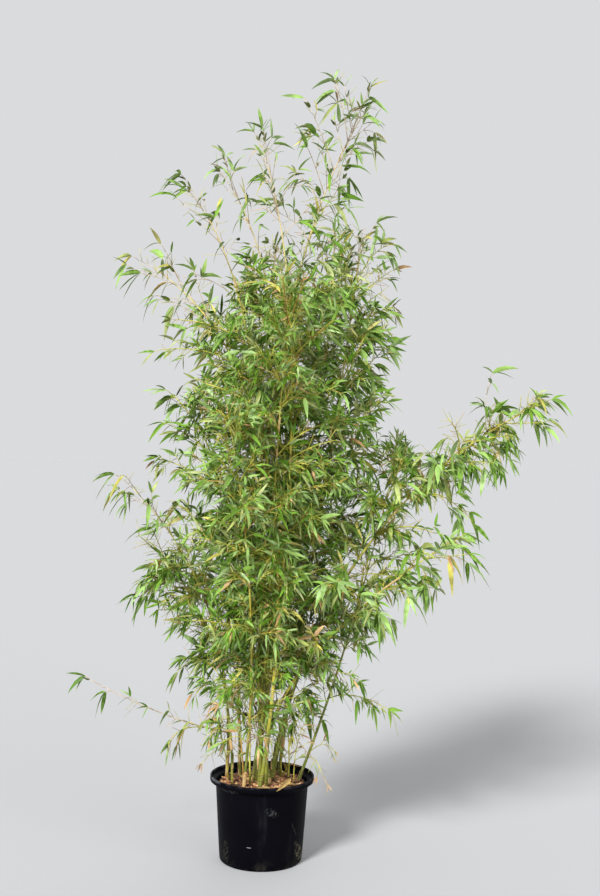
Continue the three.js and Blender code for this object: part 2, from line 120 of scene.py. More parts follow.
# Branches beside those of the rule: cane, height they leave it at, knee, tip, leafiness.
EXTRA_BRANCHES = [
    ("left_low", 400, (-310, -10, 440), (-565, -20, 575), 0.14),
    ("right_back", 520, (290, 0, 560), (390, -40, 510), 0.8),
    ("left_sprawl", 420, (-150, -60, 455), (-190, -80, 400), 0.9),
    ("left_mid", 460, (-150, 30, 540), (-175, -20, 460), 1.2),
    ("left_mid", 400, (-120, 30, 450), (-145, -10, 420), 1.2),
    ("front_left", 400, (-80, -120, 450), (-130, -130, 400), 1.0),
    ("left_sprawl", 500, (-150, -40, 600), (-200, -40, 560), 1.2),
    ("left_sprawl", 580, (-200, 0, 690), (-265, 0, 620), 1.1),
    ("back_right", 430, (130, 120, 470), (180, 160, 430), 0.3),
    ("right_back", 400, (130, -30, 520), (100, -50, 440), 0.9),
    ("right_back", 460, (160, 0, 600), (150, -40, 510), 1.0),
    ("right_lean", 975, (500, -120, 990), (520, -120, 900), 1.1),
    ("right_arm", 1200, (570, 30, 1220), (655, 20, 1130), 1.0),
    ("right_arm", 1300, (650, 30, 1400), (765, 30, 1330), 1.3),
    ("right_arm", 1360, (730, 30, 1470), (800, 30, 1410), 1.3),
    ("right_top", 1200, (260, 60, 1400), (310, 80, 1290), 1.2),
    ("right_top", 1560, (300, 60, 1740), (360, 80, 1690), 1.2),
    ("back_right", 1080, (145, 270, 1190), (130, 405, 1240), 1.2),
    ("right_top", 1450, (250, -20, 1600), (300, -60, 1700), 1.2),
    ("right_top", 1300, (290, 0, 1430), (355, -20, 1500), 1.2),
    ("left_mid", 1300, (-240, -40, 1440), (-310, -50, 1500), 1.2),
    ("left_mid", 950, (-170, 0, 1050), (-265, -20, 1130), 1.2),
    ("left_sprawl", 860, (-290, 0, 950), (-380, 0, 910), 0.8),
    ("left_mid", 600, (-170, 20, 680), (-245, -20, 650), 1.2),
    ("tallest", 2020, (150, 30, 2120), (195, 20, 2170), 0.9),
    ("right_top", 1880, (310, 110, 1990), (370, 100, 2020), 0.9),
    ("left_high", 1620, (-160, 0, 1760), (-210, 20, 1790), 1.2),
    ("left_high", 1500, (-100, -20, 1600), (-190, 0, 1630), 1.2),
    ("right_top", 1500, (300, 60, 1600), (360, 40, 1660), 1.2),
    ("left_sprawl", 900, (-300, 20, 910), (-345, 0, 880), 1.2),
    ("right_arm", 1270, (510, 20, 1360), (530, 0, 1320), 1.0),
    ("right_arm", 1380, (740, 30, 1400), (765, 30, 1300), 1.2),
    ("left_mid", 550, (-130, 0, 640), (-190, 0, 630), 1.2),
    ("tallest", 1850, (130, 20, 1940), (170, 0, 1960), 1.0),
    ("right_back", 500, (180, 20, 600), (215, 0, 580), 1.2),
    ("right_top", 1200, (250, 0, 1300), (290, -20, 1340), 1.2),
    ("left_low", 400, (-240, -20, 450), (-290, -20, 400), 0.6),
    ("right_arm", 1400, (700, 20, 1500), (715, 20, 1570), 0.3),
    ("left_sprawl", 800, (-320, -20, 890), (-410, -30, 865), 0.4),
    ("left_sprawl", 820, (-300, 0, 890), (-340, 10, 885), 0.6),
    ("back_right", 1720, (200, 120, 1780), (235, 100, 1825), 1.0),
    ("tallest", 1700, (130, 0, 1790), (215, -10, 1820), 1.0),
    ("right_arm", 1200, (460, 20, 1220), (495, 10, 1185), 0.9),
    # Sprays that stand off the thin tips of the crown.
    ("tallest", 2350, (225, 35, 2450), (195, 30, 2540), 0.28),
    ("tallest", 2250, (150, 20, 2380), (110, 0, 2450), 0.25),
    ("tallest", 2330, (270, 20, 2440), (300, 10, 2510), 0.2),
    ("tallest", 2170, (130, 20, 2280), (95, 0, 2340), 0.2),
    ("second", 2200, (-20, -60, 2290), (-35, -60, 2340), 0.25),
    ("second", 2060, (0, -60, 2150), (-25, -70, 2200), 0.25),
    ("upper_left", 2170, (-145, 80, 2230), (-160, 80, 2270), 0.25),
    ("left_top", 1970, (-165, -60, 2020), (-180, -60, 2050), 0.25),
    ("left_top", 2100, (-260, -50, 2160), (-285, -50, 2195), 0.25),
    ("left_high", 1840, (-330, 0, 1930), (-350, 0, 1970), 0.22),
    ("left_high", 1860, (-370, 0, 1890), (-415, 0, 1895), 0.22),
    ("left_high", 1700, (-270, -20, 1790), (-330, -20, 1810), 0.2),
    ("left_high", 1790, (-290, -10, 1860), (-320, 0, 1905), 0.25),
    ("left_high", 1730, (-240, 0, 1840), (-250, 10, 1890), 0.3),
]
EXTRA_NODE = 40  # the first extra branch's number, past every cane's last node
EXTRA_WEEP = 0.5  # how much their twigs hang, from 0 on an upright cane to 1 on a leaning one

# Dead branches low in the clump, and thin dead shoots that stand on the fill: root, knee, tip.
DEAD_BRANCHES = [
    ((62, 40, 252), (58, 45, 400), (35, 50, 560)),
    ((85, 20, 252), (92, 30, 360), (70, 40, 500)),
    ((104, -20, 252), (98, -30, 340), (125, -30, 430)),
    ((-60, -12, 252), (-66, -10, 400), (-100, -20, 560)),
    ((-36, -64, 252), (-46, -62, 420), (-30, -50, 640)),
    ((-110, 0, 252), (-118, 0, 360), (-160, -20, 480)),
    ((30, -30, 470), (85, -10, 460), (115, -10, 385)),
    ((152, 12, 345), (200, 10, 395), (226, 0, 362)),
    ((147, 12, 330), (178, -20, 345), (196, -45, 285)),
    ((70, 45, 250), (78, 40, 300), (105, 20, 345)),
    ((-100, -35, 350), (-150, -30, 375), (-182, -45, 330)),
    ((20, 50, 420), (10, 110, 430), (40, 160, 370)),
]
DEAD_NODE = 100
DEAD_FULLNESS = 0.45
EXTRA_RANK, DEAD_RANK = 3, 4

# Open places that go through the leaves from front to back: x, z, radius.
OPEN_PLACES = [
    (570, 1430, 80), (560, 1180, 50), (830, 1420, 50),  # under and over the arm
    (440, 1100, 50), (510, 1080, 40), (380, 800, 50), (310, 940, 60),  # by the leaning cane
    (300, 1940, 60), (360, 1880, 70), (300, 2090, 50), (400, 1760, 40),  # right of the crown
    (-160, 1870, 60), (-120, 2000, 60), (-40, 2020, 50), (-310, 1740, 70),  # left of it
    (-280, 1540, 50), (-310, 1290, 40), (-410, 1030, 60), (-470, 1060, 50),  # left edge
    (-340, 1030, 50), (-320, 760, 50), (-260, 700, 60), (-200, 380, 40),  # left skirt
    (170, 1360, 40), (60, 540, 40), (100, 1620, 40),  # in the column
]

# The branches of a node: how many times its fullness the chance of one is, what is added to
# that, its share of the size, and the angle that it swings by.
RANKS = [(9, 0.35, 1.0, 0), (1.0, 0, 0.75, 1.1), (0.75, 0, 0.55, -1.3)]
GOLDEN_ANGLE = 2.399963
LEAN_SAG = 0.7  # how much lower a branch hangs the more its cane leans
CROWN_THINS_FROM = 1.73
CROWN_THIN_BY = 1.89
CROWN_SLOPE = 0.36
LEADER = 0.066  # how far a cane's last branch goes on past its tip

# Branches, twigs, bare twigs, leaves and young leaves: how far apart, how many at most, and how
# long.
SHORTEST_BRANCH, BRANCH_SPAN = 0.07, 0.165
TWIG_SPACING, MOST_TWIGS = 0.0156, 17
SHORTEST_TWIG, TWIG_SPAN = 0.022, 0.05
WISP_SPACING, MOST_WISPS = 0.013, 18
SHORTEST_WISP, WISP_SPAN = 0.02, 0.045
MOST_LEAVES = 7
SHORTEST_LEAF, LEAF_SPAN = 0.027, 0.045
REACH_ALLOWANCE = 0.018  # how far past the solids' box a leaf may reach
MOST_BUDS = 3
SHORTEST_BUD, BUD_SPAN = 0.022, 0.016


def unit(v):
    """Vectors over their own length."""
    return v / np.maximum(np.linalg.norm(v, axis=-1, keepdims=True), 1e-9)


def smooth(x, low, high):
    """A step from 0 at low to 1 at high, as 3t squared less 2t cubed."""
    t = np.clip((x - low) / (high - low), 0, 1)
    return t * t * (3 - 2 * t)


def chance(culm, node, draw):
    """A repeatable number from 0 to 1: what follows the point in a large multiple of the sine
    of the three numbers' weighted sum. draw tells apart what is asked for one node."""
    h = np.sin(culm * 12.9898 + node * 78.233 + draw * 37.719) * 43758.5453
    return h - np.floor(h)


def bend(a, b, c, t):
    """Points on the quadratic curve from a to c that bends towards b:
    (1-t)^2 a + 2t(1-t) b + t^2 c."""
    t = np.asarray(t)[..., None]
    return (1 - t) ** 2 * a + 2 * t * (1 - t) * b + t * t * c


def bend_way(a, b, c, t):
    """The curve's direction: the unit vector of (1-t)(b-a) + t(c-b)."""
    t = np.asarray(t)[..., None]
    return unit((1 - t) * (b - a) + t * (c - b))


def swung(side, along, angle):
    """A side vector turned about the line it stands on."""
    return side * np.cos(angle)[..., None] + np.cross(along, side) * np.sin(angle)[..., None]


def level_side(d):
    """The level unit vector square to a direction."""
    return unit(np.cross(d, UP) + 1e-6)


def cane_curve(name):
    """The three points of a cane's curve: its foot on the soil, its knee and its tip."""
    (x, y), knee, tip = CANES[name][:3]
    return np.array([x / MM, y / MM, SOIL_Z]), np.array(knee) / MM, np.array(tip) / MM


def cane_length(name):
    """The curve's length, as the sum of its chords between sixty points."""
    points = bend(*cane_curve(name), np.linspace(0, 1, 60))
    return np.linalg.norm(np.diff(points, axis=0), axis=1).sum()


def cane_radius(name, t):
    """A cane's radius, which falls evenly from its foot to its tip."""
    return CANES[name][3] / MM * (1 - CANE_TAPER * t)


def node_shares(name):
    """Where a cane's nodes sit: steps of 0.42 + sin(pi share)^0.8, short at both ends, summed."""
    count = max(6, round(cane_length(name) / NODE_STEP))
    steps = 0.42 + np.sin(np.pi * (np.arange(count) + 0.5) / count) ** 0.8
    return np.cumsum(steps) / steps.sum()


def fullness(p, u, airy, leafy):
    """How leafy a node is: whole in the column, about a quarter above the slanting line where
    the crown thins, less towards an airy tip, and a third near the pot."""
    top = 1 - 0.72 * smooth(p[:, 2] - CROWN_SLOPE * p[:, 0], CROWN_THINS_FROM, CROWN_THIN_BY)
    tip = 1 - airy * smooth(u, 0.55, 0.9)
    foot = 0.31 + 0.69 * smooth(p[:, 2], 0.34, 0.72)
    return top * tip * foot * leafy


def openness(p):
    """How much grows at a point: none within half an open place's radius, all past the radius."""
    x, z, radius = np.array(OPEN_PLACES).T[:, :, None] / MM
    return smooth(np.hypot(p[:, 0] - x, p[:, 2] - z) / radius, 0.5, 1.1).min(0)


def table(rows):
    """One dict of arrays from a list of them."""
    return {key: np.concatenate([row[key] for row in rows]) for key in rows[0]}


def pick(rows, chosen):
    """The chosen rows of a dict of arrays."""
    return {key: value[chosen] for key, value in rows.items()}


def follow(rows, t):
    """The point at t on each row's curve, and the curve's direction there."""
    ends = rows["a"], rows["b"], rows["c"]
    return bend(*ends, t), bend_way(*ends, t)


def grow_branches():
    """Up to three branches at each leafy node of each cane, on alternate sides of it. Each is
    a curve that leaves outwards and bends up, longest at the cane's middle. The extra branches
    and the dead ones come after them."""
    rows = []
    for k, name in enumerate(NAMES):
        curve, shares = cane_curve(name), node_shares(name)
        bare, leafy, airy = CANES[name][4:]
        use = bend(*curve, shares)[:, 2] > bare / MM
        use[-1] = True
        j, s = np.flatnonzero(use), shares[use]
        p, d = bend(*curve, s), bend_way(*curve, s)
        u = (s - s[0]) / (1 - s[0])
        full = fullness(p, u, airy, leafy)
        for rank, (times, more, size_share, swing) in enumerate(RANKS):
            keep = chance(k, j, 70 + rank) < full * times + more
            keep[-1] |= rank == 0
            azimuth = k * GOLDEN_ANGLE + (j % 2) * np.pi
            azimuth = azimuth + (chance(k, j, 3 + rank) - 0.5) * 1.6 + swing
            out = np.stack([np.cos(azimuth), np.sin(azimuth), np.zeros(len(j))], 1)
            hang = LEAN_SAG * (1 - d[:, 2:]) * UP
            out = unit(out - (out * d).sum(1, keepdims=True) * d * 0.6 - hang)
            size = SHORTEST_BRANCH + BRANCH_SPAN * np.sin(np.pi * (0.16 + 0.62 * u))
            size = size * (0.65 + 0.7 * chance(k, j, 5 + rank)) * size_share
            size = (size * (0.55 + 0.45 * np.minimum(full, 1)))[:, None]
            tipward = smooth(u, 0.55, 1.0)[:, None]
            rise = unit(0.6 * d + 0.4 * UP - hang)
            mid = p + size * (0.28 * out + 0.36 * rise)
            end = p + size * ((0.86 - 0.36 * tipward) * out + (0.42 + 0.28 * tipward) * rise)
            if rank == 0:
                end[-1] = p[-1] + d[-1] * LEADER - UP * 0.008
                mid[-1] = p[-1] + d[-1] * 0.032
            ones = np.ones(len(j))
            row = dict(culm=k * ones, node=j, rank=rank * ones, a=p, b=mid, c=end)
            row.update(size=size[:, 0], full=full, weep=smooth(1 - d[:, 2], 0.14, 0.4))
            rows.append(pick(row, keep))
    for number, (name, height, knee, tip, full) in enumerate(EXTRA_BRANCHES):
        line = bend(*cane_curve(name), np.linspace(0, 1, 200))
        a = line[np.argmin(abs(line[:, 2] - height / MM))]
        b, c = np.array(knee) / MM, np.array(tip) / MM
        row = dict(culm=NAMES.index(name), node=EXTRA_NODE + number, rank=EXTRA_RANK, a=a, b=b, c=c)
        row.update(size=np.linalg.norm(c - a), full=full, weep=EXTRA_WEEP)
        rows.append({key: np.array([value]) for key, value in row.items()})
    a, b, c = np.array(DEAD_BRANCHES).transpose(1, 0, 2) / MM
    number, flat = np.arange(len(a)), np.zeros(len(a))
    row = dict(culm=flat, node=DEAD_NODE + number, rank=flat + DEAD_RANK, a=a, b=b, c=c)
    row.update(size=np.linalg.norm(c - a, axis=1), full=flat + DEAD_FULLNESS, weep=flat)
    return table([*rows, row])


def grow_twigs(branches):
    """Twigs back from a branch's end on alternate sides, the first one going on along it. The
    fewer leaves a branch has, the looser they hang."""
    rows = []
    wanted = branches["size"] * (0.12 + 0.88 * np.minimum(branches["full"], 1.2)) / TWIG_SPACING
    wanted = wanted * (1 - 0.45 * branches["weep"])
    count = np.clip(np.round(wanted), 1, MOST_TWIGS)
    for i in range(MOST_TWIGS):
        row = pick(branches, count > i)
        p, d = follow(row, 1 - i / count[count > i] * 0.86)
        k, j = row["culm"] + 0.31 * row["rank"], row["node"]
        side = level_side(d) * np.where((j + i) % 2 == 0, 1, -1)[:, None]
        side = swung(side, d, (chance(k, j, 20 + i) - 0.5) * 4.6)
        lean = (0.95 if i else 0.2) * (0.7 + 0.6 * chance(k, j, 40 + i))
        lift = 0.34 * chance(k, j, 80 + i) - 0.05
        way = unit(d + lean[:, None] * side + lift[:, None] * UP)
        size = (SHORTEST_TWIG + TWIG_SPAN * chance(k, j, 60 + i)) * (0.8 if i else 0.6)
        end = p + (way - 0.1 * UP) * size[:, None]
        mid = p + (0.5 * way + 0.06 * UP) * size[:, None]
        seed = row["culm"] * 1000 + j * 30 + row["rank"] * 10 + i
        dead = (row["rank"] == DEAD_RANK) * 1.0
        loose = (1 - smooth(row["full"], 0.32, 0.72)) * (1 - 0.7 * dead)
        twig = dict(a=p, b=mid, c=end, seed=seed, full=row["full"])
        rows.append(dict(twig, loose=loose, weep=row["weep"], dead=dead))
    twigs = table(rows)
    return pick(twigs, chance(twigs["seed"], 41, 2) < openness(twigs["c"]))


def grow_wisps(branches):
    """Short bare twigs whose leaves have dropped, all along the branches and to every side."""
    rows = []
    count = np.round(branches["size"] * (0.18 + 0.8 * branches["full"]) / WISP_SPACING)
    for i in range(MOST_WISPS):
        row = pick(branches, count > i)
        k, j = row["culm"] + 0.17 * row["rank"], row["node"] + 0.5
        p, d = follow(row, chance(k, j, 120 + i))
        side = swung(level_side(d), d, chance(k, j, 140 + i) * 2 * np.pi)
        way = unit(0.5 * d + side + (0.7 * chance(k, j, 160 + i) - 0.3)[:, None] * UP)
        size = (SHORTEST_WISP + WISP_SPAN * chance(k, j, 180 + i))[:, None]
        bow = (chance(k, j, 200 + i) - 0.5)[:, None] * 0.3 * np.cross(way, d)
        mid, end = p + (0.5 * way + bow) * size, p + way * size
        rows.append(dict(a=p, b=mid, c=end, draw=chance(k, j, 220 + i)))
    return table(rows)


def grow_leaves(twigs):
    """Two to seven leaves on a twig: one that goes on along it, the others back from its end on
    alternate sides, each opening wider than the last. Loose leaves stand closer together, in a
    fan."""
    rows = []
    extra = np.floor(chance(twigs["seed"], 1, 1) * (1.7 + 3.4 * np.minimum(twigs["full"], 1)))
    for i in range(MOST_LEAVES):
        row = pick(twigs, extra + 2 > i)
        seed, weep, dead = row["seed"], row["weep"], row["dead"]
        loose = np.maximum(row["loose"], 0.8 * weep)
        p, d = follow(row, 1 - i * (0.13 - 0.07 * loose))
        turn = (chance(seed, 2, 0) - 0.5) * 5.2 + (chance(seed, 2, i + 1) - 0.5) * 2.2
        side = swung(level_side(d), d, turn) * (1 if i % 2 else -1)
        spread = (0.55 + 0.14 * i if i else 0.25) * (0.6 + 1.0 * chance(seed, 3, i))
        fall = (0.62 + 0.6 * loose) * chance(seed, 5, i) - 0.14 - 0.34 * loose + 0.3 * weep
        way = unit(d + spread[:, None] * side - fall[:, None] * UP)
        size = SHORTEST_LEAF + LEAF_SPAN * chance(seed, 4, i) ** 2 + 0.017 * loose + 0.013 * weep
        size = size * (1.0 if i < 4 else 0.85)
        size = size * (1 - 0.35 * dead) * (0.86 + 0.14 * smooth(p[:, 2], 0.45, 0.8))
        leaf = dict(root=p, way=way, size=size, seed=seed * 7 + i, spray=seed)
        rows.append(dict(leaf, loose=loose, weep=weep, dead=dead))
    leaves = table(rows)
    tips = leaves["root"] + leaves["way"] * leaves["size"][:, None]
    low, high = (np.array(corner) for corner in CAD_BOX)
    inside = (tips > low - REACH_ALLOWANCE) & (tips < high + REACH_ALLOWANCE)
    return pick(leaves, inside.all(1))


def grow_buds(branches):
    """Up to three short rolled young leaves at the end of each thinly leaved branch."""
    rows = []
    for i in range(MOST_BUDS):
        use = (branches["full"] < 0.5) & (branches["rank"] < DEAD_RANK)
        use &= chance(branches["node"], branches["culm"], 90 + i) < 0.35
        row = pick(branches, use)
        _, d = follow(row, np.ones(len(row["size"])))
        seed = row["culm"] * 700 + row["node"] * 9 + row["rank"] * 3 + i
        side = swung(level_side(d), d, chance(seed, 6, 1) * 2 * np.pi)
        way = unit(d + 0.9 * chance(seed, 7, 1)[:, None] * side)
        size = SHORTEST_BUD + BUD_SPAN * chance(seed, 8, 1)
        rows.append(dict(root=row["c"], way=way, size=size, seed=seed))
    buds = table(rows)
    buds["loose"] = buds["weep"] = np.zeros(len(buds["seed"]))
    return buds


def tube_faces(count, rings, sides):
    """Quads and triangles of many closed tubes, each a stack of rings and then its two end
    points: the quads join ring to ring, and a fan closes each end. Faces point outwards."""
    ring, side = np.meshgrid(np.arange(rings - 1), np.arange(sides), indexing="ij")
    here, beside = ring * sides + side, ring * sides + (side + 1) % sides
    quads = np.stack([here, beside, beside + sides, here + sides], -1).reshape(-1, 4)
    one, two = np.arange(sides), (np.arange(sides) + 1) % sides
    last = (rings - 1) * sides
    start, end = np.full(sides, rings * sides), np.full(sides, rings * sides + 1)
    fans = [np.stack([start, two, one], 1), np.stack([end, last + one, last + two], 1)]
    step = (np.arange(count) * (rings * sides + 2))[:, None, None]
    return (quads + step).reshape(-1, 4), (np.concatenate(fans) + step).reshape(-1, 3)


def tubes(points, radii, sides):
    """Round tubes along many paths at once: p + r (cos a side + sin a other) on every ring,
    where side and other are square to the path. Both ends are closed."""
    count, rings = points.shape[:2]
    along = unit(np.gradient(points, axis=1))
    level = np.abs(unit(points[:, -1] - points[:, 0])[:, 2:]) < 0.9
    helper = np.where(level, UP, [1.0, 0, 0])[:, None]
    side = unit(np.cross(along, helper))
    other = np.cross(along, side)
    angle = np.arange(sides) * 2 * np.pi / sides
    ring = side[:, :, None] * np.cos(angle)[:, None] + other[:, :, None] * np.sin(angle)[:, None]
    verts = (points[:, :, None] + ring * radii[:, :, None, None]).reshape(count, -1, 3)
    verts = np.concatenate([verts, points[:, :1], points[:, -1:]], 1).reshape(-1, 3)
    return verts, *tube_faces(count, rings, sides)


def add(name, data):
    """An object with that data, linked into the scene."""
    made = bpy.data.objects.new(name, data)
    bpy.context.scene.collection.objects.link(made)
    return made


def piece(name, verts, quads, tris, finishes, slot, kinds=None, sharp=None, values=None):
    """Makes a piece of the plant from arrays. kinds gives each face's finish, sharp says of
    each vertex whether an edge between two such is a crease, and values names vertex values."""
    mesh = bpy.data.meshes.new(name)
    corners = np.concatenate([quads.ravel(), tris.ravel()]).astype(np.int32)
    starts = [np.arange(len(quads)) * 4, len(quads) * 4 + np.arange(len(tris)) * 3]
    starts = np.concatenate(starts).astype(np.int32)
    mesh.vertices.add(len(verts))
    mesh.vertices.foreach_set("co", verts.astype(np.float32).ravel())
    mesh.loops.add(len(corners))
    mesh.loops.foreach_set("vertex_index", corners)
    mesh.polygons.add(len(starts))
    mesh.polygons.foreach_set("loop_start", starts)
    mesh.update(calc_edges=True)
    mesh.shade_smooth()
    for finish in finishes:
        mesh.materials.append(finish)
    if kinds is not None:
        mesh.polygons.foreach_set("material_index", kinds.astype(np.int32))
    if sharp is not None:
        ends = np.empty(len(mesh.edges) * 2, np.int32)
        mesh.edges.foreach_get("vertices", ends)
        creased = sharp[ends.reshape(-1, 2)].all(1)
        mesh.attributes.new("sharp_edge", "BOOLEAN", "EDGE").data.foreach_set("value", creased)
    for key, value in (values or {}).items():
        layer = mesh.attributes.new(key, "FLOAT", "POINT")
        layer.data.foreach_set("value", value.astype(np.float32))
    made = add(name, mesh)
    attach(made, "root")
    return made


# Leaf blades: the stations along a blade past its stalk, and its thickness.
BLADE_STATIONS = np.array([0.06, 0.24, 0.52, 0.8])
BLADE_THICKNESS = 0.0003
BLADE_WIDTH = 0.165  # share of the length
BLADE_FOLD = 0.24  # how far the edges rise, as a share of the half width
TOP, RIGHT, UNDER, LEFT, END = range(5)


def blades(leaves, width=BLADE_WIDTH, fold=BLADE_FOLD):
    """Lance-shaped blades. The midrib runs root + L (t way + sag t^2 down), the half width is
    L width/2 sin(pi t^0.62)^0.9, and both edges rise from the midrib by the fold. Each ring has
    the midrib's top, the right edge, the midrib's underside and the left edge. Loose blades sag
    more, and those of a leaning cane are broader."""
    seed, size = leaves["seed"], leaves["size"][:, None, None]
    count, t = len(seed), BLADE_STATIONS[None, :, None]
    way, loose = leaves["way"][:, None], leaves["loose"]
    stiff_sag, loose_sag = 0.02 + 0.36 * chance(seed, 11, 2), 0.15 + 0.6 * chance(seed, 11, 2)
    sag = (stiff_sag + (loose_sag - stiff_sag) * loose)[:, None, None]
    down = -UP + 0.5 * way * way[..., 2:]
    path = leaves["root"][:, None] + size * (t * way + sag * t * t * down)
    along = unit(way + 2 * sag * t * down)
    side = unit(np.cross(along, UP) + 0.02 * np.cross(along, [1.0, 0.3, 0]))
    twist = (chance(seed, 12, 3) - 0.5) * (5.0 - 2.6 * loose)
    angle = twist[:, None] + (chance(seed, 13, 5) - 0.5)[:, None] * 1.8 * BLADE_STATIONS
    side = swung(side, along, angle)
    face = np.cross(side, along)
    broad = 1.05 - 0.14 * loose + 0.34 * leaves["weep"]
    broad = (width * (0.8 + 0.4 * chance(seed, 14, 1)) * broad)[:, None, None]
    half = size * broad / 2 * np.sin(np.pi * t ** 0.62) ** 0.9
    lift = half * fold * face
    right, left = path + half * side + lift, path - half * side + lift
    verts = np.stack([path, right, path - BLADE_THICKNESS * face, left], 2).reshape(count, -1, 3)
    tip = leaves["root"][:, None] + size * (way + sag * down)
    verts = np.concatenate([verts, leaves["root"][:, None], tip], 1).reshape(-1, 3)
    quads, tris = tube_faces(count, len(BLADE_STATIONS), 4)
    kind = np.tile([TOP, RIGHT, UNDER, LEFT] * len(BLADE_STATIONS) + [END, END], count)
    under = np.concatenate([(kind[quads] == UNDER).any(1), (kind[tris] == UNDER).any(1)])
    return verts, quads, tris, under, (kind != TOP) & (kind != UNDER)


def leaf_piece(name, leaves, finishes, *shape):
    """A piece of leaf blades, with a finish for their upper faces and one for the under ones."""
    verts, quads, tris, under, sharp = blades(leaves, *shape)
    return piece(name, verts, quads, tris, finishes, "foliage", under, sharp)


def shells(front, thickness):
    """Thin closed sheets from grids of points: the back is the front less thickness times its
    normal, the cross product of the grid's two directions. Each border is joined."""
    count, m, n = front.shape[:3]
    up, across = np.gradient(front, axis=1), np.gradient(front, axis=2)
    normal = unit(np.cross(across, up))
    verts = np.stack([front, front - thickness * normal], 1).reshape(-1, 3)
    i, j = np.meshgrid(np.arange(m - 1), np.arange(n - 1), indexing="ij")
    one = (i * n + j).ravel()
    face = np.stack([one, one + 1, one + n + 1, one + n], 1)
    back = face[:, ::-1] + m * n
    low, high = np.arange(n - 1), (m - 1) * n + np.arange(n - 1)
    left, right = np.arange(m - 1) * n, np.arange(m - 1) * n + n - 1
    edges = [(low + 1, low), (high, high + 1), (left, left + n), (right + n, right)]
    border = [np.stack([one, two, two + m * n, one + m * n], 1) for one, two in edges]
    quads = np.concatenate([face, back, *border])
    step = (np.arange(count) * 2 * m * n)[:, None, None]
    return verts, (quads + step).reshape(-1, 4), np.zeros((0, 3), int)


def operator(operation, swapped=False):
    """One arithmetic operator of a Wire: it adds a Math node of that operation."""
    def work(self, other):
        one, two = (other, self) if swapped else (self, other)
        return self.finish.node("Math", {"operation": operation}, {0: one, 1: two})
    return work


class Wire:
    """A socket of a finish, to do arithmetic with."""

    def __init__(self, finish, socket):
        self.finish = finish
        self.socket = socket

    __add__, __radd__ = operator("ADD"), operator("ADD", True)
    __sub__, __rsub__ = operator("SUBTRACT"), operator("SUBTRACT", True)
    __mul__, __rmul__ = operator("MULTIPLY"), operator("MULTIPLY", True)


class Finish:
    """A material. node() adds any node, and feed() links a varying value to its shader."""

    def __init__(self, name, **fixed):
        self.material = bpy.data.materials.new(name)
        self.material.use_nodes = True
        self.tree = self.material.node_tree
        self.shader = self.tree.nodes["Principled BSDF"]
        for socket, value in fixed.items():
            self.shader.inputs[socket.replace("_", " ")].default_value = value

    def node(self, kind, settings=None, inputs=None, output=0):
        """Adds a node of that type: first its settings, then its sockets' values or links."""
        node = self.tree.nodes.new("ShaderNode" + kind)
        for key, value in (settings or {}).items():
            setattr(node, key, value)
        for key, value in (inputs or {}).items():
            self.join(value, node.inputs[key])
        return Wire(self, node.outputs[output])

    def join(self, value, socket):
        if isinstance(value, Wire):
            self.tree.links.new(value.socket, socket)
        else:
            socket.default_value = (*value, 1.0) if socket.type == "RGBA" else value

    def feed(self, **wires):
        for socket, wire in wires.items():
            self.join(wire, self.shader.inputs[socket.replace("_", " ")])
        return self.material

    def place(self, scale=(1, 1, 1)):
        """Object coordinates, stretched along the axes."""
        coords = self.node("TexCoord", output="Object")
        return self.node("Mapping", inputs={"Vector": coords, "Scale": scale})

    def noise(self, scale, detail, where=None):
        """Noise of so many patches a metre, at Object coordinates if no others are given."""
        inputs = {"Vector": where or self.place(), "Scale": scale, "Detail": detail}
        return self.node("TexNoise", inputs=inputs)

    def value(self, name):
        """A vertex value of the piece."""
        return self.node("Attribute", {"attribute_name": name}, output="Fac")

    def step(self, value, low, high):
        """0 below low and 1 above high, smoothly between."""
        inputs = {"Value": value, "From Min": low, "From Max": high}
        return self.node("MapRange", {"interpolation_type": "SMOOTHSTEP"}, inputs)

    def blend(self, share, one, two):
        """Two colours mixed by a share."""
        return self.node("Mix", {"data_type": "RGBA"}, {0: share, 6: one, 7: two}, output=2)

    def bump(self, height, distance, strength=1.0):
        inputs = {"Height": height, "Distance": distance, "Strength": strength}
        return self.node("Bump", inputs=inputs)


def leaf_finishes(name, *colours, gloss=0.18):
    """The plain colours of a leaf's upper and under face, each wavering a little from place to
    place."""
    finishes = []
    for label, colour in zip((f"leaf_{name}", f"leaf_{name}_under"), colours):
        leaf = Finish(label, Roughness=0.46, Specular_IOR_Level=gloss)
        waver = leaf.step(leaf.noise(23.0, 2.0), 0.35, 0.65)
        dim, lit = tuple(0.74 * c for c in colour), tuple(1.26 * c for c in colour)
        finishes.append(leaf.feed(Base_Color=leaf.blend(waver, dim, lit)))
    return finishes


